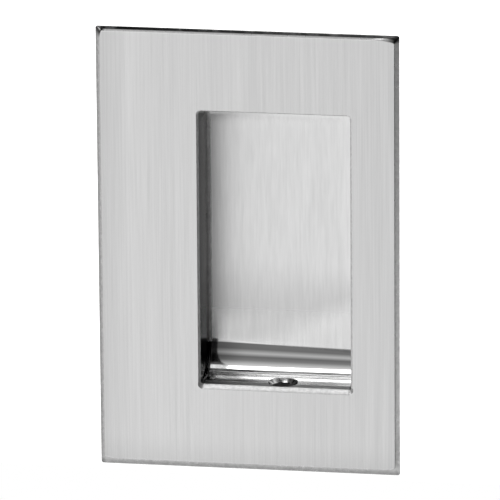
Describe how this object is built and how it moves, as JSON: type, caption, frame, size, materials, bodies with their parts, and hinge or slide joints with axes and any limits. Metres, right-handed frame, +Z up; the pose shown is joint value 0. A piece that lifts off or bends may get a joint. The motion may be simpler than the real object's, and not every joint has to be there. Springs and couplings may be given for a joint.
{
  "type": "pocket door pull",
  "caption": "Flush pull for a sliding pocket door: bevelled brushed plate with an offset rectangular finger recess, coved at its ends and fixed by countersunk screws inside it.",
  "frame": {"origin": "middle of the plate's outline, in the plane of its back face where it lies on the door", "axes": "+Y into the door, +Z up, +X to the right as seen from the room; the recess is offset towards +X"},
  "size_m": [0.1016, 0.0222, 0.1524],
  "materials": {
    "face_plate": "satin, fine grain up and down, ground edges",
    "recess_cup": "satin back with grain up and down, bright polished floor, ends and coves"
  },
  "bodies": {
    "root": {"face_plate": "face_plate", "recess_cup": "recess_cup"}
  },
  "joints": []
}
